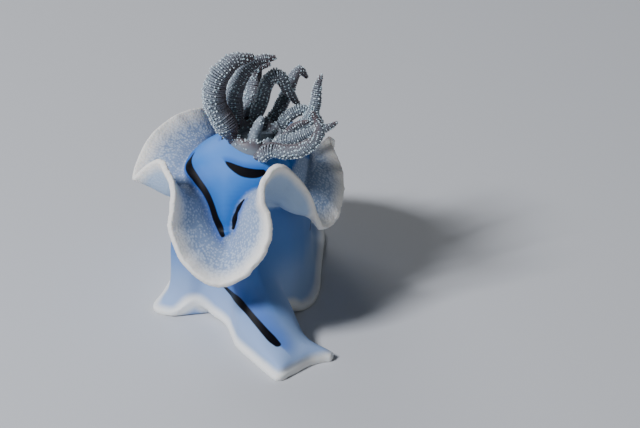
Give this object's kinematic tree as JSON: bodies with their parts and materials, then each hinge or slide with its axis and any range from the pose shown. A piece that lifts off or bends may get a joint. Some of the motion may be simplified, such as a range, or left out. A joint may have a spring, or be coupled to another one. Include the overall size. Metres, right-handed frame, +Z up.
{
  "type": "sea slug",
  "caption": "Blue and white sea slug with a frilled white mantle, feathery brown gills, club feelers and a pointed foot, resting on its flat sole as a still life-size model",
  "frame": {"origin": "On the ground under the middle of the foot, in the plane of the flat sole", "axes": "+X to the animal's right, +Y forward to the head, +Z up"},
  "size_m": [0.0211, 0.0361, 0.028],
  "materials": {
    "blue_flesh": "moist, soft blue skin with near-black lines and a fine white granular bloom",
    "mantle_skirt": "moist, soft, finely granular blue-white skin with an opaque white rim",
    "foot_flesh": "moist, soft pale blue skin with a white margin and dark line",
    "gill": "translucent grey-brown flesh with white specks along the flap tips",
    "rhinophore": "translucent grey-brown flesh with fine leaves and white specks"
  },
  "bodies": {
    "root": {"anal_papilla": "foot_flesh", "back_front": "blue_flesh", "back_middle": "blue_flesh", "back_rear": "blue_flesh", "foot_front": "foot_flesh", "foot_middle": "foot_flesh", "foot_rear": "foot_flesh", "gill_base": "gill", "gill_leaf_1": "gill", "gill_leaf_10": "gill", "gill_leaf_2": "gill", "gill_leaf_3": "gill", "gill_leaf_4": "gill", "gill_leaf_5": "gill", "gill_leaf_6": "gill", "gill_leaf_7": "gill", "gill_leaf_8": "gill", "gill_leaf_9": "gill", "head": "foot_flesh", "mantle_front": "mantle_skirt", "mantle_front_left": "mantle_skirt", "mantle_front_right": "mantle_skirt", "mantle_left_fold": "mantle_skirt", "mantle_left_front_lobe": "mantle_skirt", "mantle_rear_lobe": "mantle_skirt", "mantle_right_fold": "mantle_skirt", "mantle_right_side_lobe": "mantle_skirt", "oral_tentacle_left": "foot_flesh", "oral_tentacle_right": "foot_flesh", "rhinophore_left": "rhinophore", "rhinophore_right": "rhinophore", "rhinophore_sheath_left": "blue_flesh", "rhinophore_sheath_right": "blue_flesh", "tail": "foot_flesh", "trunk_front": "foot_flesh", "trunk_middle": "foot_flesh", "trunk_rear": "foot_flesh"}
  },
  "joints": []
}
